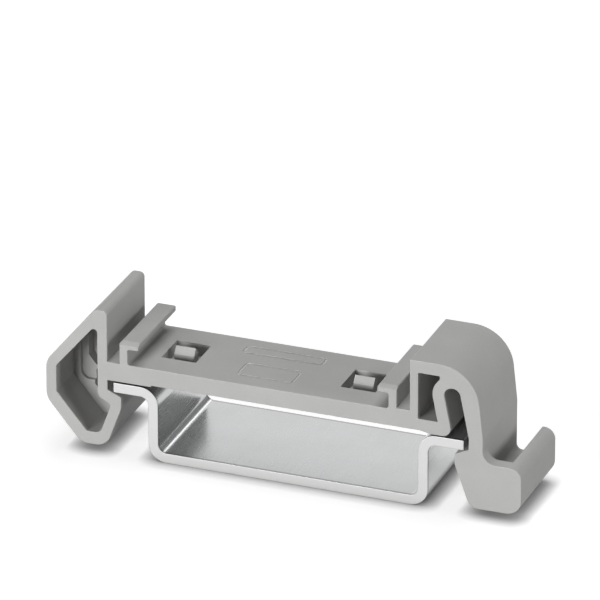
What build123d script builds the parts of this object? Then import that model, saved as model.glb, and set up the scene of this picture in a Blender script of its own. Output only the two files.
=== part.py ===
"""Clip-on adapter for a 35 mm top-hat rail, clipped over a short piece of that rail.

Millimetres. X runs across the rail, Y along it and Z up. The origin lies in the middle of the rail's
underside. Every profile is drawn in the plane of the front face and drawn out along the rail.
"""

import os
from math import cos, radians, sin, tan

from build123d import *

os.makedirs("parts", exist_ok=True)

# Rail: a strip of sheet folded to a channel with a brim along each side
rail_width = 35.0
rail_height = 7.5
rail_channel_width = 28.0
rail_gauge = 1.0
rail_bend = 0.8
rail_length = 12.5
rail_edge_radius = 0.06

# Clearances between the rail and the adapter
deck_clearance = 0.3
pad_clearance = 0.15
lobe_clearance = 0.1
hook_clearance = 0.6
latch_clearance = 0.48
jaw_clearance = 0.1

# Adapter as a whole
body_depth = 9.6
foot_height = 0.7
deck_thickness = 1.75
rim_radius = 0.08
pad_width = 4.4

# Jaws that grip below the brim, alike on the hook and on the latch
jaw_reach = 1.37
jaw_slope = 24.0
jaw_tip_radius = 0.2
jaw_root_radius = 0.15
nose_drop = 1.5
nose_slope = 70.0
nose_radius = 1.5

# Seat on the deck: two lips that face each other
seat_centre = -3.0
seat_width = 26.1
seat_height = 1.6
lip_reach = 1.1
lip_thickness = 0.6
lip_stem = 0.8
lip_fillet = 0.25
lip_edge_radius = 0.15
lip_back_radius = 0.15
lip_lead_length = 0.65
lip_lead_drop = 0.17

# Pockets in the deck between the lips, each with a catch: steep in front, with a gentler fall behind its crest
pocket_pitch = 18.0
pocket_width = 3.5
pocket_length = 4.0
pocket_depth = 1.25
catch_width = 2.0
catch_length = 1.1
catch_rise_length = 0.45
catch_low = -0.16
catch_high = 0.53

# Label frames: shallow grooves round two empty fields on the deck
label_groove = 0.22
label_depth = 0.09
label_radius = 0.5
front_label_width = 5.7
front_label_length = 2.8
front_label_setback = 1.8
back_label_width = 8.2
back_label_length = 1.6
back_label_setback = 6.5

# Hook: a hollow loop with a ridge that stands above the deck
ridge_height = 5.2
ridge_wall = 1.0
ridge_top_width = 1.16
ridge_radius = 0.45
loop_width = 6.24
loop_slope = 50.0
loop_wall = 1.05
keel_wall = 1.3
keel_radius = 1.6
jaw_wall = 1.2
flank_bottom = 4.85
flank_radius = 2.0
hollow_corner_radius = 0.35
hollow_jaw_radius = 0.7

# Web inside the loop: a plate half-way back, with a sunk field and two blind recesses cut off at one corner
web_setback = 4.3
web_thickness = 2.4
field_left = 0.72
field_bottom = 5.25
field_radius = 0.9
field_sink = 0.4
recess_depth = 1.5
recess_radius = 0.2
recess_corner_height = 0.9
upper_recess_left = 1.4
upper_recess_bottom = 6.7
upper_recess_width = 2.0
lower_recess_left = 2.18
lower_recess_bottom = 3.95
lower_recess_width = 1.2
lower_recess_height = 2.37

# Latch: rib, arch, spring leg and arm
rib_offset = 5.83
rib_wall = 0.8
rib_root_height = 0.15
arch_height = 5.37
arch_wall = 1.2
arch_radius = 4.0
arch_hollow_width = 2.15
arch_hollow_floor = 1.2
arch_hollow_radius = 0.15
leg_wall = 1.15
lobe_width = 2.2
lobe_ramp = 1.0
lobe_radius = 0.85
slot_gap = 1.6
slot_crown = 2.3
slot_lean = 11.5
slot_roundness = 0.49
arm_wall = 1.41
arm_lean = 6.2
arm_radius = 1.0

# Foot: the latch arm's lower end, with a pocket for the tip of a screwdriver
foot_reach = 5.22
foot_top = 5.45
foot_root_radius = 1.2
foot_top_radius = 1.1
foot_corner_radius = 1.5
foot_nose_radius = 1.2
foot_pocket_floor = 2.7
foot_pocket_width = 2.45
foot_pocket_radius = 0.6
foot_front_wall = 1.3
foot_ridge_radius = 0.2

# Levels and faces that follow from the sizes above
jaw_level = rail_height - rail_gauge - jaw_clearance
nose_height = jaw_level - nose_drop
deck_bottom = rail_height + deck_clearance
deck_top = deck_bottom + deck_thickness
pad_bottom = rail_height + pad_clearance
lobe_bottom = rail_height + lobe_clearance
ridge_top = deck_top + ridge_height
arch_top = deck_top + arch_height
slot_top = arch_top - slot_crown
hook_face = -rail_width / 2 - hook_clearance
hook_tip = hook_face + jaw_reach
loop_left = hook_face - loop_width
flank_top = ridge_top - (loop_width - ridge_top_width) * tan(radians(loop_slope))
latch_face = rail_width / 2 + latch_clearance
latch_tip = latch_face - jaw_reach
arm_back_face = latch_face + arm_wall
foot_side_face = latch_face + foot_reach
seat_left = seat_centre - seat_width / 2
seat_right = seat_centre + seat_width / 2
lip_underside = deck_top + seat_height
lip_top = lip_underside + lip_thickness
rib_face = latch_face - rib_offset
rib_inside = rib_face + rib_wall
body_front = -rail_length / 2
body_middle = body_front + body_depth / 2
deck_end = hook_face - ridge_wall / 2


def profile_plane(setback):
    """Upright plane across the rail, at a distance behind the front face."""
    return Plane.XZ.offset(-body_front - setback)


def inset(side, distance):
    """A side (x, z, direction in degrees) moved to its left, into the material."""
    x, z, direction = side
    angle = radians(direction)
    return x - distance * sin(angle), z + distance * cos(angle), direction


def crossing(first, second):
    """The point where two sides meet."""
    x, z, direction = first
    next_x, next_z, next_direction = second
    run = Vector(cos(radians(direction)), sin(radians(direction)))
    next_run = Vector(cos(radians(next_direction)), sin(radians(next_direction)))
    offset_between = Vector(next_x - x, next_z - z)
    return Vector(x, z) + run * (offset_between.cross(next_run).Z / run.cross(next_run).Z)


def outline(*rounded_sides):
    """Closed outline of (side, radius) pairs, where each radius rounds the corner after its side."""
    sides = [side for side, _ in rounded_sides]
    corners = [crossing(side, after) for side, after in zip(sides, sides[1:] + sides[:1])]
    with BuildLine() as edge:
        FilletPolyline(*corners, radius=[radius for _, radius in rounded_sides], close=True)
    return edge.edges()


def box_outline(left, bottom, right, top, radius=0.0):
    """Closed outline of an upright rectangle."""
    return outline(
        ((left, bottom, 0), radius),
        ((right, bottom, 90), radius),
        ((right, top, 180), radius),
        ((left, top, 270), radius),
    )


def recess_outline(left, bottom, width, ceiling):
    """Upright recess under a ceiling side, with its lower left corner cut off at the loop's slope."""
    shoulder = bottom + recess_corner_height
    return outline(
        ((left, bottom, 0), recess_radius),
        ((left + width, bottom, 90), recess_radius),
        (ceiling, recess_radius),
        ((left, shoulder, 270), recess_radius),
        ((left, shoulder, 360 - loop_slope), recess_radius),
    )


def lip_outline(stem_face, inward):
    """Stem that rises from the deck and turns over the seat. Inward is 1 or -1 along X."""
    back = stem_face - inward * lip_stem
    tip = stem_face + inward * lip_reach
    root = deck_top - deck_thickness / 2
    corners = [
        (stem_face, root),
        (stem_face, lip_underside),
        (tip, lip_underside),
        (tip, lip_top),
        (back, lip_top),
        (back, root),
    ]
    radii = [0, lip_fillet, lip_edge_radius, lip_edge_radius, lip_back_radius, 0]
    with BuildLine() as edge:
        FilletPolyline(*corners, radius=radii, close=True)
    return edge.edges()


# Hook sides, in order round the loop with the plastic on their left
keel = (hook_face, foot_height, 0)
hook_nose = (hook_tip, nose_height, nose_slope)
hook_nose_face = (hook_tip, nose_height, 90)
hook_jaw = (-rail_width / 2, jaw_level, 180 - jaw_slope)
hook_wall = (hook_face, deck_top, 90)
ridge = (hook_face, ridge_top, 180)
brow = (loop_left, flank_top, 180 + loop_slope)
flank = (loop_left, flank_top, 270)
chin = (loop_left, flank_bottom, 360 - loop_slope)

hook_outline = outline(
    (keel, keel_radius),
    (hook_nose, nose_radius),
    (hook_nose_face, jaw_tip_radius),
    (hook_jaw, jaw_root_radius),
    (hook_wall, ridge_radius),
    (ridge, ridge_radius),
    (brow, flank_radius),
    (flank, flank_radius),
    (chin, keel_radius),
)
hollow_brow = inset(brow, loop_wall)
hollow_right = inset(hook_wall, ridge_wall)
hollow_left = loop_left + loop_wall
loop_hollow_outline = outline(
    (inset(keel, keel_wall), hollow_jaw_radius),
    (inset(hook_nose, loop_wall), hollow_corner_radius),
    (inset(hook_jaw, jaw_wall), hollow_jaw_radius),
    (hollow_right, hollow_corner_radius),
    (hollow_brow, hollow_corner_radius),
    (inset(flank, loop_wall), hollow_corner_radius),
    (inset(chin, keel_wall), hollow_corner_radius),
)

# Latch sides, in order round it with the plastic on their left
slot_width_across = slot_gap / cos(radians(slot_lean))
slot_centre_z = slot_top - slot_gap / 2
slot_centre_x = latch_face - slot_width_across / 2 - (slot_centre_z - deck_bottom) * tan(radians(slot_lean))
slot_end = inset((slot_centre_x, slot_centre_z, slot_lean), slot_gap / 2)
slot_left = (latch_face - slot_width_across, deck_bottom, 90 + slot_lean)
slot_right = (latch_face, deck_bottom, 270 + slot_lean)
slot_radius = slot_roundness * slot_gap
lobe_left = latch_face - slot_width_across - lobe_width
lobe_fall = Vector(lobe_ramp, lobe_bottom - deck_bottom)

latch_outline = outline(
    ((latch_face, foot_height, 0), foot_corner_radius),
    ((foot_side_face, foot_height, 90), foot_top_radius),
    ((foot_side_face, foot_top, 180), foot_root_radius),
    ((arm_back_face, foot_top, 90), arm_radius),
    ((arm_back_face, deck_bottom, 90 + arm_lean), arch_radius),
    ((rib_face, arch_top, 180), lip_edge_radius),
    ((rib_face, arch_top, 270), 0),
    ((rib_face, deck_bottom, 0), 0),
    ((lobe_left, lobe_bottom, -Vector(1, 0).get_angle(lobe_fall)), 0),
    ((lobe_left, lobe_bottom, 0), lobe_radius),
    (slot_left, slot_radius),
    (slot_end, slot_radius),
    (slot_right, arm_radius),
    ((latch_face, deck_bottom, 270), jaw_root_radius),
    ((rail_width / 2, jaw_level, 180 + jaw_slope), jaw_tip_radius),
    ((latch_tip, nose_height, 270), nose_radius),
    ((latch_tip, nose_height, 360 - nose_slope), foot_nose_radius),
)

# Rail: one half of the folded profile, mirrored
channel_outside = rail_channel_width / 2
channel_inside = channel_outside - rail_gauge
outer_bend = rail_bend + rail_gauge
rail_corners = [
    (0, 0),
    (channel_outside, 0),
    (channel_outside, rail_height - rail_gauge),
    (rail_width / 2, rail_height - rail_gauge),
    (rail_width / 2, rail_height),
    (channel_inside, rail_height),
    (channel_inside, rail_gauge),
    (0, rail_gauge),
]
rail_radii = [0, outer_bend, rail_bend, rail_edge_radius, rail_edge_radius, outer_bend, rail_bend, 0]

with BuildPart() as rail_section:
    with BuildSketch(profile_plane(0)):
        with BuildLine():
            FilletPolyline(*rail_corners, radius=rail_radii, close=True)
        make_face()
        mirror(about=Plane.YZ)
    extrude(amount=-rail_length)
    cut_ends = rail_section.faces().filter_by(Axis.Y)
    fillet(cut_ends.edges(), rail_edge_radius)

rail_section.part.label = "rail_section"
export_step(rail_section.part, "parts/rail_section.step")

# Adapter: one moulding
with BuildPart() as adapter_body:
    with BuildSketch(profile_plane(0)):
        make_face(hook_outline)
        make_face(latch_outline)
        make_face(box_outline(deck_end, deck_bottom, rib_inside, deck_top))
        make_face(box_outline(deck_end, pad_bottom, hook_face + pad_width, deck_top))
        make_face(box_outline(seat_right, deck_bottom, rib_inside, deck_top + rib_root_height))
        make_face(lip_outline(seat_left, 1))
        make_face(lip_outline(seat_right, -1))
        make_face(loop_hollow_outline, mode=Mode.SUBTRACT)
    extrude(amount=-body_depth)
    seat_corners = [
        adapter_body.edges().filter_by(Axis.Y).sort_by_distance((stem_face, body_middle, deck_top))[0]
        for stem_face in (seat_left, seat_right)
    ]
    fillet(seat_corners, lip_fillet)

    # Web across the loop
    with BuildSketch(profile_plane(web_setback)):
        make_face(loop_hollow_outline)
    extrude(amount=-web_thickness)
    with BuildSketch(profile_plane(web_setback)):
        make_face(
            outline(
                ((hollow_left, field_bottom, 0), 0),
                (hollow_right, 0),
                (hollow_brow, 0),
                ((hollow_left + field_left, field_bottom, 270), field_radius),
            )
        )
    extrude(amount=-field_sink, mode=Mode.SUBTRACT)
    upper_left = hollow_left + upper_recess_left
    lower_left = hollow_left + lower_recess_left
    lower_recess_top = (lower_left, lower_recess_bottom + lower_recess_height, 180)
    with BuildSketch(profile_plane(web_setback)):
        make_face(recess_outline(upper_left, upper_recess_bottom, upper_recess_width, hollow_brow))
        make_face(recess_outline(lower_left, lower_recess_bottom, lower_recess_width, lower_recess_top))
    extrude(amount=-recess_depth, mode=Mode.SUBTRACT)

    # Pockets and catches in the deck
    pocket_floor = deck_top - pocket_depth
    pocket_centres = [seat_centre - pocket_pitch / 2, seat_centre + pocket_pitch / 2]
    with BuildSketch(Plane.XY.offset(deck_top)):
        with Locations(*[(x, body_middle) for x in pocket_centres]):
            Rectangle(pocket_width, pocket_length)
    extrude(amount=-pocket_depth, mode=Mode.SUBTRACT)
    catch_front = body_middle - catch_length / 2
    catch_back = body_middle + catch_length / 2
    catch_crest = catch_front + catch_rise_length
    for pocket_x in pocket_centres:
        with BuildSketch(Plane.YZ.offset(pocket_x)):
            with BuildLine():
                Polyline(
                    (catch_front, pocket_floor),
                    (catch_back, pocket_floor),
                    (catch_back, deck_top + catch_low),
                    (catch_crest, deck_top + catch_high),
                    (catch_front, deck_top + catch_low),
                    close=True,
                )
            make_face()
        extrude(amount=catch_width / 2, both=True)

    # Label frames sunk into the deck
    label_frames = [
        (front_label_width, front_label_length, front_label_setback),
        (back_label_width, back_label_length, back_label_setback),
    ]
    with BuildSketch(Plane.XY.offset(deck_top)):
        for width, length, setback in label_frames:
            with Locations((seat_centre, body_front + setback + length / 2)):
                RectangleRounded(width, length, label_radius)
                RectangleRounded(
                    width - 2 * label_groove,
                    length - 2 * label_groove,
                    label_radius - label_groove,
                    mode=Mode.SUBTRACT,
                )
    extrude(amount=-label_depth, mode=Mode.SUBTRACT)

    # Screwdriver pocket, open at the top and at the back, with a round on its ridge
    pocket_side = arm_back_face + foot_pocket_width
    with BuildSketch(profile_plane(foot_front_wall)):
        make_face(
            outline(
                ((arm_back_face, foot_pocket_floor, 0), foot_pocket_radius),
                ((pocket_side, foot_pocket_floor, 90), foot_ridge_radius),
                ((pocket_side, foot_top, 0), 0),
                ((foot_side_face, foot_top, 90), 0),
                ((arm_back_face, deck_bottom, 180), 0),
                ((arm_back_face, deck_bottom, 270), foot_pocket_radius),
            )
        )
    extrude(amount=-(body_depth - foot_front_wall), mode=Mode.SUBTRACT)

    # Soft rims round both end faces
    ends = adapter_body.faces().filter_by(Axis.Y).group_by(Axis.Y)
    fillet(ends[0].edges() + ends[-1].edges(), rim_radius)

    # Space inside the arch: a box that keeps the spring leg's wall round the slot
    hollow_floor = deck_bottom + arch_hollow_floor
    hollow_ceiling = arch_top - arch_wall
    hollow_side = rib_inside + arch_hollow_width
    with BuildSketch(profile_plane(0)):
        make_face(
            outline(
                ((rib_inside, hollow_floor, 0), 0),
                ((hollow_side, hollow_floor, 90), 0),
                ((hollow_side, hollow_ceiling, 180), arch_hollow_radius),
                ((rib_inside, hollow_ceiling, 270), arch_hollow_radius),
            )
        )
        with Locations(Location((slot_centre_x, slot_centre_z, 0), (0, 0, slot_lean))):
            Circle(slot_gap / 2 + leg_wall, mode=Mode.SUBTRACT)
            Rectangle(
                slot_gap + 2 * leg_wall,
                slot_centre_z,
                align=(Align.CENTER, Align.MAX),
                mode=Mode.SUBTRACT,
            )
    extrude(amount=-body_depth, mode=Mode.SUBTRACT)

    # Lead-in slopes at the lips' front ends
    for stem_face, inward in ((seat_left, 1), (seat_right, -1)):
        lip_middle = stem_face + inward * (lip_reach - lip_stem) / 2
        with BuildSketch(Plane.YZ.offset(lip_middle)):
            with BuildLine():
                Polyline(
                    (body_front, lip_top - lip_lead_drop),
                    (body_front + lip_lead_length, lip_top),
                    (body_front, lip_top),
                    close=True,
                )
            make_face()
        extrude(amount=(lip_reach + lip_stem) / 2, both=True, mode=Mode.SUBTRACT)

adapter_body.part.label = "adapter_body"
export_step(adapter_body.part, "parts/adapter_body.step")
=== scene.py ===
"""Studio scene of a top-hat rail adapter: finishes, floor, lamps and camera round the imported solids.

Lengths are in metres. X runs across the rail, Y along it and Z up, with the origin in the middle of the
rail's underside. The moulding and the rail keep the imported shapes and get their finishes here.
"""

from __future__ import annotations

import logging
import math
from dataclasses import dataclass, field
from enum import Enum

import bmesh
import bpy
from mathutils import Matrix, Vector

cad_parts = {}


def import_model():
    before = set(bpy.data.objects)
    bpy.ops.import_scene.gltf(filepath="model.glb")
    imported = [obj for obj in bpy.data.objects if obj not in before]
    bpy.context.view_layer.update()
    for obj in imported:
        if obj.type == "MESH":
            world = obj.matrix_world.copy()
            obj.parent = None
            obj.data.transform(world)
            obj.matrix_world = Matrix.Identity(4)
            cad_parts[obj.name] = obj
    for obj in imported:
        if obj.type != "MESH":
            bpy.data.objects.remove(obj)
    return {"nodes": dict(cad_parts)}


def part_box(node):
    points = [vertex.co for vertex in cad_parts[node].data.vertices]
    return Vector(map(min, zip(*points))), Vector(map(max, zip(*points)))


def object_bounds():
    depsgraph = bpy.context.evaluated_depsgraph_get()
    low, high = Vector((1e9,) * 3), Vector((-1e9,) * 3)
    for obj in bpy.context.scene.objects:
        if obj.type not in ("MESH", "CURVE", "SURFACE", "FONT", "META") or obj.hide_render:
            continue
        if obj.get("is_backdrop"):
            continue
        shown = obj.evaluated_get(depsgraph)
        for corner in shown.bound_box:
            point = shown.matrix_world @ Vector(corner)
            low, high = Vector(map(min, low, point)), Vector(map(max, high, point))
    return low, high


LOG = logging.getLogger("rail_adapter")
PICTURE_SIDE = 600
MM = 0.001

Triple = tuple[float, float, float]
Colour = Triple
Span = tuple[float, float]

WHITE: Colour = (1.0, 1.0, 1.0)
UNSTRETCHED: Triple = (1.0, 1.0, 1.0)

# The colour mix node repeats its socket names for each kind of data, so they are picked by place:
# the share, the first colour and the second one, and the mixed colour.
MIX_INPUTS = (0, 6, 7)
MIX_OUTPUT = 2


class Axis(Enum):
    """The three axes of the shared frame, as the outputs of a Separate XYZ node."""

    ACROSS = "X"
    ALONG = "Y"
    UP = "Z"


@dataclass(frozen=True)
class Pattern:
    """One noise pattern.

    Attributes:
        size: The size of its largest lumps.
        detail: How many finer layers it has.
        roughness: How strong the finer layers are.
    """

    size: float
    detail: float = 2.0
    roughness: float = 0.5


def rgba(colour: Colour) -> tuple[float, float, float, float]:
    """Returns the colour with an alpha of 1."""
    return (*colour, 1.0)


class NodeSheet:
    """One material's or world's node tree, with short ways to add and join nodes."""

    def __init__(self, owner: bpy.types.Material | bpy.types.World) -> None:
        """Clears the owner's tree.

        Args:
            owner: The material or world whose nodes are made.
        """
        owner.use_nodes = True
        self.tree = owner.node_tree
        self.tree.nodes.clear()

    def add(self, kind: str, settings: dict | None = None, **inputs: object) -> bpy.types.Node:
        """Adds a node.

        Args:
            kind: The node's type, without the leading "ShaderNode".
            settings: Values of the node's own properties.
            inputs: Values or output sockets for inputs, named in lower case with underscores.

        Returns:
            The new node.
        """
        node = self.tree.nodes.new(f"ShaderNode{kind}")
        for name, value in (settings or {}).items():
            setattr(node, name, value)
        by_name = {}
        for socket in node.inputs:
            by_name.setdefault(socket.name.lower().replace(" ", "_"), socket)
        for name, value in inputs.items():
            self.feed(by_name[name], value)
        return node

    def feed(self, socket: bpy.types.NodeSocket, value: object) -> None:
        """Links a socket to another one, or gives it a value.

        Args:
            socket: The input.
            value: An output socket, or a plain value.
        """
        if isinstance(value, bpy.types.NodeSocket):
            self.tree.links.new(value, socket)
        else:
            socket.default_value = value

    def maths(self, operation: str, *operands: object) -> bpy.types.NodeSocket:
        """Adds a Math node.

        Args:
            operation: Its operation, such as "MULTIPLY".
            operands: Numbers or output sockets, in order.

        Returns:
            The result's socket.
        """
        node = self.add("Math", {"operation": operation})
        for socket, operand in zip(node.inputs, operands):
            self.feed(socket, operand)
        return node.outputs[0]

    def ramp(
        self, value: bpy.types.NodeSocket, low: float, high: float, start: float, end: float
    ) -> bpy.types.NodeSocket:
        """Maps a value from one range to another, clamped.

        Args:
            value: The value's socket.
            low: The value that gives start.
            high: The value that gives end.
            start: The result at low.
            end: The result at high.

        Returns:
            The result's socket.
        """
        node = self.add("MapRange", {"clamp": True}, value=value)
        for name, number in (("From Min", low), ("From Max", high), ("To Min", start), ("To Max", end)):
            node.inputs[name].default_value = number
        return node.outputs[0]

    def blend(self, share: object, first: object, second: object) -> bpy.types.NodeSocket:
        """Mixes two colours.

        Args:
            share: The second colour's share, a number or socket.
            first: A colour or socket.
            second: A colour or socket.

        Returns:
            The mixed colour's socket.
        """
        node = self.add("Mix", {"data_type": "RGBA"})
        for index, value in zip(MIX_INPUTS, (share, first, second)):
            self.feed(node.inputs[index], rgba(value) if isinstance(value, tuple) else value)
        return node.outputs[MIX_OUTPUT]

    def blend_shaders(self, share: object, first: bpy.types.Node, second: bpy.types.Node) -> bpy.types.Node:
        """Mixes two shaders.

        Args:
            share: The second shader's share, a number or socket.
            first: The first shader's node.
            second: The second shader's node.

        Returns:
            The mixing node.
        """
        node = self.add("MixShader", fac=share)
        self.feed(node.inputs[1], first.outputs[0])
        self.feed(node.inputs[2], second.outputs[0])
        return node

    def place(self, stretch: Triple = UNSTRETCHED) -> bpy.types.NodeSocket:
        """Object coordinates, shrunk or stretched along the axes.

        Args:
            stretch: The scale along X, Y and Z.

        Returns:
            The vector's socket.
        """
        spot = self.add("TexCoord").outputs["Object"]
        if stretch == UNSTRETCHED:
            return spot
        return self.add("Mapping", vector=spot, scale=stretch).outputs[0]

    def off_middle(self, value: bpy.types.NodeSocket, middle: float) -> bpy.types.NodeSocket:
        """How far a value lies from a middle, to either side.

        Args:
            value: The value's socket.
            middle: The middle.

        Returns:
            The distance's socket.
        """
        return self.maths("ABSOLUTE", self.maths("SUBTRACT", value, middle))

    def noise(self, spot: bpy.types.NodeSocket, pattern: Pattern) -> bpy.types.NodeSocket:
        """Adds a noise texture.

        Args:
            spot: Where it is read.
            pattern: Its size, detail and roughness.

        Returns:
            The value's socket, from 0 to 1.
        """
        node = self.add(
            "TexNoise",
            vector=spot,
            scale=1.0 / pattern.size,
            detail=pattern.detail,
            roughness=pattern.roughness,
        )
        return node.outputs[0]

    def bump(
        self, height: bpy.types.NodeSocket, depth: float, under: bpy.types.NodeSocket | None = None
    ) -> bpy.types.NodeSocket:
        """Turns a height into a normal.

        Args:
            height: The height's socket, from 0 to 1.
            depth: How deep the pattern is, in metres.
            under: A normal that it is laid over.

        Returns:
            The normal's socket.
        """
        node = self.add("Bump", height=height, strength=1.0, distance=depth)
        if under is not None:
            self.feed(node.inputs["Normal"], under)
        return node.outputs[0]

    def close(self, shader: bpy.types.Node, kind: str = "OutputMaterial") -> None:
        """Joins the last shader to the output.

        Args:
            shader: The shader's node.
            kind: The output node's type.
        """
        self.add(kind, surface=shader.outputs[0])


@dataclass(frozen=True)
class MouldedPlastic:
    """Matt grey polyamide: fine grain, faint mottling, painted rim highlights and painted light in the
    frame grooves.

    Attributes:
        name: The material's name.
        pale: The mottling's pale tone.
        dark: Its dark tone.
        clouds: Its large patches.
        cloud_span: The part of the patches' range that shows.
        cloud_share: How much they sway the tone.
        specks: Its small dots.
        speck_span: The part of the dots' range that shows.
        speck_share: How much they sway the tone.
        grain: The surface's fine grain.
        grain_span: The part of the grain's range that changes the roughness.
        grain_depth: How deep the grain is.
        swell: The surface's slow unevenness.
        swell_depth: How deep that is.
        roughness: The least and the most roughness.
        gloss: The shader's specular level.
        ior: The index of refraction.
        frame_painted_light: The paler tone in the label frames' grooves: painted light that eases the shade
            in them.
        frame_level: The heights of the grooves' floor and of just under the deck's top.
        frame_level_fade: Over what heights the tone comes and goes.
        frame_middle: The frames' middle across the rail.
        frame_reach: How far from that the tone is used.
        frame_reach_fade: Over what width it goes.
        frame_ends: How far from the end faces it begins to go, and is gone.
        rim_highlight: The tone of the painted highlight along the edges at both end faces.
        rim_reach: How far from an end face the painted highlight begins.
        rim_crest: How far from it the painted highlight is strongest.
        rim_highlight_share: How strong that is.
    """

    name: str = "matt_grey_polyamide"
    pale: Colour = (0.445, 0.445, 0.436)
    dark: Colour = (0.400, 0.400, 0.390)
    clouds: Pattern = Pattern(5.0 * MM, 3.0, 0.55)
    cloud_span: Span = (0.3, 0.7)
    cloud_share: float = 0.6
    specks: Pattern = Pattern(0.16 * MM, 2.0, 0.6)
    speck_span: Span = (0.35, 0.65)
    speck_share: float = 0.4
    grain: Pattern = Pattern(0.085 * MM, 3.0, 0.6)
    grain_span: Span = (0.3, 0.7)
    grain_depth: float = 0.0032 * MM
    swell: Pattern = Pattern(0.9 * MM, 1.0, 0.5)
    swell_depth: float = 0.0035 * MM
    roughness: Span = (0.50, 0.64)
    gloss: float = 0.25
    ior: float = 1.53
    # Painted light: the label frames' grooves are painted paler to ease the shade in them.
    frame_painted_light: Colour = (0.640, 0.640, 0.628)
    frame_level: Span = (9.455 * MM, 9.530 * MM)
    frame_level_fade: Span = (0.02 * MM, 0.01 * MM)
    frame_middle: float = -3.0 * MM
    frame_reach: float = 5.5 * MM
    frame_reach_fade: float = 0.1 * MM
    frame_ends: Span = (1.0 * MM, 0.9 * MM)
    # Painted highlight: the edges just inside both end faces are painted paler.
    rim_highlight: Colour = (0.500, 0.500, 0.490)
    rim_reach: float = 0.09 * MM
    rim_crest: float = 0.03 * MM
    rim_highlight_share: float = 0.45

    def material(self, front: float, back: float) -> bpy.types.Material:
        """Makes the material.

        Args:
            front: The front face's place along Y.
            back: The back face's place along Y.

        Returns:
            The new material.
        """
        made = bpy.data.materials.new(self.name)
        sheet = NodeSheet(made)
        spot = sheet.place()
        place = sheet.add("SeparateXYZ", vector=spot).outputs
        from_middle = sheet.off_middle(place[Axis.ALONG.value], (front + back) / 2)
        half = (back - front) / 2

        # Painted light: the label frames' grooves get a paler tone that eases the shade falling in them.
        grooves = self._groove_light_share(sheet, place, from_middle, half)
        body = sheet.blend(grooves, self._mottling(sheet, spot), self.frame_painted_light)
        # Painted highlight: a paler band just inside both end faces stands in for the edges' highlight.
        rim_highlight = sheet.ramp(from_middle, half - self.rim_reach, half - self.rim_crest, 0.0, self.rim_highlight_share)
        flat = sheet.ramp(from_middle, half - self.rim_crest, half, 1.0, 0.0)
        colour = sheet.blend(sheet.maths("MULTIPLY", rim_highlight, flat), body, self.rim_highlight)

        grain = sheet.noise(spot, self.grain)
        smooth, rough = self.roughness
        shader = sheet.add(
            "BsdfPrincipled",
            base_color=colour,
            roughness=sheet.ramp(grain, *self.grain_span, rough, smooth),
            normal=sheet.bump(
                grain, self.grain_depth, sheet.bump(sheet.noise(spot, self.swell), self.swell_depth)
            ),
            ior=self.ior,
            specular_ior_level=self.gloss,
        )
        sheet.close(shader)
        return made

    def _mottling(self, sheet: NodeSheet, spot: bpy.types.NodeSocket) -> bpy.types.NodeSocket:
        """The body's tone, with patches and dots.

        Args:
            sheet: The material's nodes.
            spot: The place's socket.

        Returns:
            The colour's socket.
        """
        tone = sheet.maths(
            "ADD",
            sheet.ramp(sheet.noise(spot, self.clouds), *self.cloud_span, 0.0, self.cloud_share),
            sheet.ramp(sheet.noise(spot, self.specks), *self.speck_span, 0.0, self.speck_share),
        )
        return sheet.blend(tone, self.dark, self.pale)

    def _groove_light_share(
        self,
        sheet: NodeSheet,
        place: bpy.types.NodeOutputs,
        from_middle: bpy.types.NodeSocket,
        half: float,
    ) -> bpy.types.NodeSocket:
        """Where the label frames' grooves are, for their painted light: 1 in them and 0 elsewhere.

        Args:
            sheet: The material's nodes.
            place: The place along the three axes.
            from_middle: How far along the rail it is from the moulding's middle.
            half: Half the moulding's depth.

        Returns:
            The share's socket.
        """
        deep, shallow = self.frame_level
        fade_in, fade_out = self.frame_level_fade
        fading, gone = self.frame_ends
        height = place[Axis.UP.value]
        aside = sheet.off_middle(place[Axis.ACROSS.value], self.frame_middle)
        at_level = sheet.maths(
            "MULTIPLY",
            sheet.ramp(height, deep - fade_in, deep, 0.0, 1.0),
            sheet.ramp(height, shallow, shallow + fade_out, 1.0, 0.0),
        )
        inside = sheet.maths(
            "MULTIPLY",
            sheet.ramp(aside, self.frame_reach, self.frame_reach + self.frame_reach_fade, 1.0, 0.0),
            sheet.ramp(from_middle, half - fading, half - gone, 1.0, 0.0),
        )
        return sheet.maths("MULTIPLY", at_level, inside)


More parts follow.
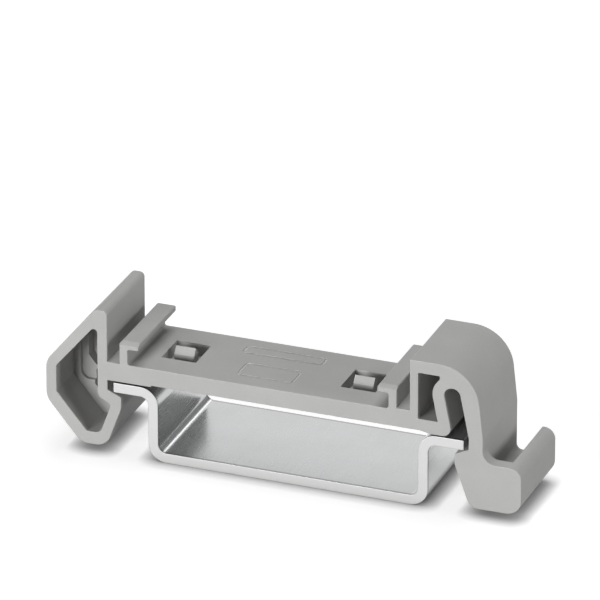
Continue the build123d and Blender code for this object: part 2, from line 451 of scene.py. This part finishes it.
@dataclass(frozen=True)
class ZincPlatedSteel:
    """Bright zinc-plated sheet: rolling lines, spangle, slight waves, painted shade by the cut ends, satin
    cut ends.

    Attributes:
        name: The material's name.
        cool: The plating's cool tone.
        warm: Its warm tone.
        patches: Where one gives way to the other.
        patch_span: The part of the patches' range that shows.
        patch_share: How much they sway the tone.
        spangle_size: The size of the plating's crystals.
        spangle_share: How much they sway the tone.
        lines: The rolling lines, before they are drawn out.
        line_stretch: The lines' scale along the rail, under 1 to draw them out.
        line_span: The part of the lines' range that shows in the tone.
        line_share: How much they sway the tone.
        line_depth: How deep they are.
        waves: The sheet's slow unevenness.
        wave_depth: How deep that is.
        satin_span: The part of the lines' range that changes the roughness.
        roughness: The least and the most roughness of the plating.
        painted_edge_shade: The tone of the painted shade, a dark band beside a cut end.
        edge_shade_reach: How far from the end face that begins.
        edge_shade_full: How far from it that is full.
        edge_shade_share: How strong it is.
        cut: The tone of the cut ends.
        cut_grain: The cut ends' grain.
        cut_depth: How deep that is.
        cut_reach: How far from the end face the cut's look begins.
        cut_full: How far from it that is full.
        cut_roughness: The cut ends' roughness.
    """

    name: str = "zinc_plated_steel"
    cool: Colour = (0.580, 0.590, 0.595)
    warm: Colour = (0.545, 0.550, 0.550)
    patches: Pattern = Pattern(4.0 * MM, 2.0, 0.5)
    patch_span: Span = (0.3, 0.7)
    patch_share: float = 0.6
    spangle_size: float = 0.70 * MM
    spangle_share: float = 0.12
    lines: Pattern = Pattern(0.14 * MM, 3.0, 0.6)
    line_stretch: float = 0.045
    line_span: Span = (0.35, 0.65)
    line_share: float = 0.16
    line_depth: float = 0.0002 * MM
    waves: Pattern = Pattern(2.2 * MM, 2.0, 0.5)
    wave_depth: float = 0.0030 * MM
    satin_span: Span = (0.3, 0.7)
    roughness: Span = (0.22, 0.28)
    # Painted shade: a dark band along the sheet beside each cut end.
    painted_edge_shade: Colour = (0.240, 0.240, 0.236)
    edge_shade_reach: float = 0.36 * MM
    edge_shade_full: float = 0.18 * MM
    edge_shade_share: float = 0.6
    cut: Colour = (0.420, 0.421, 0.419)
    cut_grain: Pattern = Pattern(0.05 * MM, 3.0, 0.65)
    cut_depth: float = 0.0022 * MM
    cut_reach: float = 0.05 * MM
    cut_full: float = 0.0125 * MM
    cut_roughness: float = 0.55

    def material(self, half_length: float) -> bpy.types.Material:
        """Makes the material.

        Args:
            half_length: The rail's end faces' distance from its middle.

        Returns:
            The new material.
        """
        made = bpy.data.materials.new(self.name)
        sheet = NodeSheet(made)
        spot = sheet.place()
        lines = sheet.noise(sheet.place((1.0, self.line_stretch, 1.0)), self.lines)
        along = sheet.add("SeparateXYZ", vector=spot).outputs[Axis.ALONG.value]
        from_middle = sheet.maths("ABSOLUTE", along)
        at_cut = sheet.ramp(
            from_middle, half_length - self.cut_reach, half_length - self.cut_full, 0.0, 1.0
        )
        # Painted shade: the sheet is darkened in a band beside each cut end.
        at_edge = sheet.ramp(
            from_middle, half_length - self.edge_shade_reach, half_length - self.edge_shade_full, 0.0, 1.0
        )
        edge_shade_weight = sheet.maths("MULTIPLY", at_edge, self.edge_shade_share)
        plating = sheet.blend(edge_shade_weight, self._plating(sheet, spot, lines), self.painted_edge_shade)

        satin = sheet.ramp(lines, *self.satin_span, *self.roughness)
        shine = sheet.maths(
            "ADD",
            sheet.maths("MULTIPLY", satin, sheet.maths("SUBTRACT", 1.0, at_cut)),
            sheet.maths("MULTIPLY", at_cut, self.cut_roughness),
        )
        waves = sheet.bump(sheet.noise(spot, self.waves), self.wave_depth)
        torn = sheet.maths("MULTIPLY", sheet.noise(spot, self.cut_grain), at_cut)
        shader = sheet.add(
            "BsdfPrincipled",
            base_color=sheet.blend(at_cut, plating, self.cut),
            roughness=shine,
            normal=sheet.bump(torn, self.cut_depth, sheet.bump(lines, self.line_depth, waves)),
            metallic=1.0,
        )
        sheet.close(shader)
        return made

    def _plating(
        self, sheet: NodeSheet, spot: bpy.types.NodeSocket, lines: bpy.types.NodeSocket
    ) -> bpy.types.NodeSocket:
        """The plating's tone, with patches, crystals and rolling lines.

        Args:
            sheet: The material's nodes.
            spot: The place's socket.
            lines: The rolling lines' socket.

        Returns:
            The colour's socket.
        """
        cells = sheet.add("TexVoronoi", vector=spot, scale=1.0 / self.spangle_size, randomness=1.0)
        crystal = sheet.add("SeparateXYZ", vector=cells.outputs["Color"]).outputs[0]
        tone = sheet.maths(
            "ADD",
            sheet.maths(
                "ADD",
                sheet.ramp(sheet.noise(spot, self.patches), *self.patch_span, 0.0, self.patch_share),
                sheet.maths("MULTIPLY", crystal, self.spangle_share),
            ),
            sheet.ramp(lines, *self.line_span, 0.0, self.line_share),
        )
        return sheet.blend(tone, self.warm, self.cool)


@dataclass(frozen=True)
class StudioWhite:
    """White floor: it shows the object's soft shadow and a contact shadow, and is clear from below.

    Camera, glossy and transmission rays see the bright floor, so that metal shows it too. Other rays see
    a plain one, so that it throws no more light on the object than a grey floor does.

    Attributes:
        name: The material's name.
        seen: The bright floor's colour.
        lift: The light that it gives off itself, away from the object.
        contact_reach: How near the object that light is dimmed.
        contact_power: How steeply it is dimmed.
        lit: The plain floor's colour.
    """

    name: str = "studio_white"
    seen: Colour = (0.45, 0.45, 0.45)
    lift: float = 0.74
    contact_reach: float = 1.7 * MM
    contact_power: float = 2.1
    lit: Colour = (0.30, 0.30, 0.30)

    def material(self) -> bpy.types.Material:
        """Returns the new material."""
        made = bpy.data.materials.new(self.name)
        sheet = NodeSheet(made)
        path = sheet.add("LightPath").outputs
        looked_at = sheet.maths(
            "MAXIMUM",
            path["Is Camera Ray"],
            sheet.maths("MAXIMUM", path["Is Glossy Ray"], path["Is Transmission Ray"]),
        )
        open_share = sheet.add("AmbientOcclusion", distance=self.contact_reach).outputs["AO"]
        lift = sheet.maths("MULTIPLY", sheet.maths("POWER", open_share, self.contact_power), self.lift)
        bright = sheet.add("AddShader")
        sheet.feed(bright.inputs[0], sheet.add("BsdfDiffuse", color=rgba(self.seen)).outputs[0])
        sheet.feed(bright.inputs[1], sheet.add("Emission", strength=lift).outputs[0])
        plain = sheet.add("BsdfDiffuse", color=rgba(self.lit))
        upper = sheet.blend_shaders(looked_at, plain, bright)
        below = sheet.add("NewGeometry").outputs["Backfacing"]
        sheet.close(sheet.blend_shaders(below, upper, sheet.add("BsdfTransparent")))
        return made


@dataclass
class ClipAdapter:
    """The moulding: hook, deck, seat lips, catches, spring leg, latch arm and foot in one piece."""

    node: bpy.types.Object
    finish: MouldedPlastic = field(default_factory=MouldedPlastic)

    def dress(self) -> bpy.types.Object:
        """Gives the moulding its finish.

        Returns:
            The dressed piece.
        """
        low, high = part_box(self.node.name)
        self.node.material_slots[0].material = self.finish.material(low.y, high.y)
        return self.node


@dataclass
class RailSection:
    """The short piece of top-hat rail that the adapter is clipped on."""

    node: bpy.types.Object
    finish: ZincPlatedSteel = field(default_factory=ZincPlatedSteel)

    def dress(self) -> bpy.types.Object:
        """Gives the rail its finish.

        Returns:
            The dressed piece.
        """
        low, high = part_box(self.node.name)
        self.node.material_slots[0].material = self.finish.material((high.y - low.y) / 2)
        return self.node


def direction(azimuth: float, elevation: float) -> Vector:
    """Unit vector from the object to a point round it.

    Args:
        azimuth: Degrees round from the front, 0 at -Y and 90 at +X.
        elevation: Degrees above the floor.

    Returns:
        The vector.
    """
    turn, rise = math.radians(azimuth), math.radians(elevation)
    return Vector((math.sin(turn) * math.cos(rise), -math.cos(turn) * math.cos(rise), math.sin(rise)))


@dataclass(frozen=True)
class SoftBox:
    """A square lamp that faces the object.

    Attributes:
        name: The lamp's name.
        azimuth: Degrees round from the front.
        elevation: Degrees above the floor.
        distance: How far off it stands.
        side: The length of its side.
        level: Its strength, before it is scaled by the distance.
    """

    name: str
    azimuth: float
    elevation: float
    distance: float
    side: float
    level: float

    def build(self, target: Vector) -> bpy.types.Object:
        """Makes the lamp.

        Args:
            target: The point that it faces.

        Returns:
            The lamp's object.
        """
        lamp = bpy.data.lights.new(self.name, "AREA")
        lamp.shape = "SQUARE"
        lamp.size = self.side
        lamp.energy = self.level * (math.pi * self.distance) ** 2
        holder = bpy.data.objects.new(self.name, lamp)
        bpy.context.scene.collection.objects.link(holder)
        away = direction(self.azimuth, self.elevation)
        holder.location = target + away * self.distance
        holder.rotation_mode = "QUATERNION"
        holder.rotation_quaternion = away.to_track_quat("Z", "Y")
        return holder


@dataclass
class Studio:
    """Floor, lamps and surroundings.

    Attributes:
        floor_radius: The floor's radius.
        floor_sides: How many sides its round edge has.
        surroundings: The strength of the light from all round.
        flag: How bright reflections show the surroundings on the right, where 1 is white.
        flag_edges: Between which X of a direction they fall from white to that.
        finish: The floor's finish.
        lamps: The lamps.
    """

    floor_radius: float = 1.6
    floor_sides: int = 96
    surroundings: float = 0.03
    flag: float = 0.30
    flag_edges: Span = (-0.08, 0.26)
    finish: StudioWhite = field(default_factory=StudioWhite)
    lamps: tuple[SoftBox, ...] = (
        SoftBox("front_box", azimuth=-21.0, elevation=5.0, distance=0.60, side=0.34, level=1.62),
        SoftBox("top_box", azimuth=182.0, elevation=72.0, distance=0.55, side=0.34, level=0.54),
        SoftBox("right_box", azimuth=84.0, elevation=12.0, distance=0.60, side=0.24, level=0.40),
        SoftBox("rim_box", azimuth=177.0, elevation=33.0, distance=0.60, side=0.12, level=0.026),
    )

    def build(self, target: Vector) -> None:
        """Makes the floor, the lamps and the world.

        Args:
            target: The point that the lamps face.
        """
        self._floor()
        self._world()
        for lamp in self.lamps:
            lamp.build(target)

    def _floor(self) -> None:
        """Lays a round floor under the object, facing up."""
        mesh = bpy.data.meshes.new("studio_floor")
        shape = bmesh.new()
        bmesh.ops.create_circle(shape, cap_ends=True, segments=self.floor_sides, radius=self.floor_radius)
        bmesh.ops.recalc_face_normals(shape, faces=shape.faces)
        for face in shape.faces:
            if face.normal.z < 0:
                face.normal_flip()
        shape.to_mesh(mesh)
        shape.free()
        floor = bpy.data.objects.new("studio_floor", mesh)
        floor.data.materials.append(self.finish.material())
        bpy.context.scene.collection.objects.link(floor)
        floor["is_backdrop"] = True

    def _world(self) -> None:
        """Lights the object faintly from all round, and shows white behind it.

        Reflections show white on the left, which falls to the flag's level on the right.
        """
        world = bpy.data.worlds.new("studio_surroundings")
        bpy.context.scene.world = world
        sheet = NodeSheet(world)
        path = sheet.add("LightPath").outputs
        looked_at = sheet.maths("MAXIMUM", path["Is Camera Ray"], path["Is Transmission Ray"])
        way = sheet.add("SeparateXYZ", vector=sheet.add("TexCoord").outputs["Generated"])
        walls = sheet.ramp(way.outputs[Axis.ACROSS.value], *self.flag_edges, 1.0, self.flag)
        faint, mirrored, shown = (
            sheet.add("Background", strength=strength, color=rgba(WHITE))
            for strength in (self.surroundings, walls, 1.0)
        )
        unseen = sheet.blend_shaders(path["Is Glossy Ray"], faint, mirrored)
        sheet.close(sheet.blend_shaders(looked_at, unseen, shown), "OutputWorld")


@dataclass(frozen=True)
class LongLensCamera:
    """Camera far off with a long lens, aimed so that one point of the object falls on one pixel.

    Attributes:
        azimuth: Degrees round from the front.
        elevation: Degrees above the floor.
        distance: How far it stands from the anchor.
        pixels_per_radian: The picture's scale.
        sensor: The sensor's width, in millimetres as Blender takes it.
        clip: The nearest and the furthest distance that it shows.
        anchor: The point of the object that it is aimed by, on the rail's front end.
        anchor_pixel: Where that point falls in the picture, from its upper left corner.
    """

    azimuth: float = 20.9
    elevation: float = 25.0
    distance: float = 0.768
    pixels_per_radian: float = 8200.0
    sensor: float = 36.0
    clip: Span = (0.01, 10.0)
    anchor: Triple = (0.0, -6.25 * MM, 0.0)
    anchor_pixel: Span = (287.2, 483.7)

    def build(self) -> bpy.types.Object:
        """Makes the camera and hands it to the scene.

        Returns:
            The camera's object.
        """
        data = bpy.data.cameras.new("studio_camera")
        data.sensor_width = self.sensor
        data.lens = self.sensor * self.pixels_per_radian / PICTURE_SIDE
        data.clip_start, data.clip_end = self.clip
        camera = bpy.data.objects.new("studio_camera", data)
        bpy.context.scene.collection.objects.link(camera)
        away = direction(self.azimuth, self.elevation)
        turn = away.to_track_quat("Z", "Y")
        right, up = turn @ Vector((1, 0, 0)), turn @ Vector((0, 1, 0))
        per_pixel = self.distance / self.pixels_per_radian
        across, down = ((pixel - PICTURE_SIDE / 2) * per_pixel for pixel in self.anchor_pixel)
        camera.rotation_mode = "QUATERNION"
        camera.rotation_quaternion = turn
        camera.location = Vector(self.anchor) + away * self.distance - right * across + up * down
        bpy.context.scene.camera = camera
        return camera


def corners() -> list[list[float]]:
    """Returns the lowest and highest corner of what shows, as plain numbers."""
    return [list(corner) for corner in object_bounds()]


def main() -> None:
    """Loads the frame, dresses its pieces and builds the studio."""
    logging.basicConfig(level=logging.INFO, format="%(name)s: %(message)s")
    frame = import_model()
    solid_box = corners()

    nodes = frame["nodes"]
    for piece in (ClipAdapter(nodes["adapter_body"]), RailSection(nodes["rail_section"])):
        dressed = piece.dress()
        LOG.info("%s has the finish %s", dressed.name, piece.finish.name)

    low, high = (Vector(corner) for corner in solid_box)
    Studio().build((low + high) / 2)
    LongLensCamera().build()
    bpy.context.scene.view_settings.view_transform = "Standard"


if __name__ == "__main__":
    main()
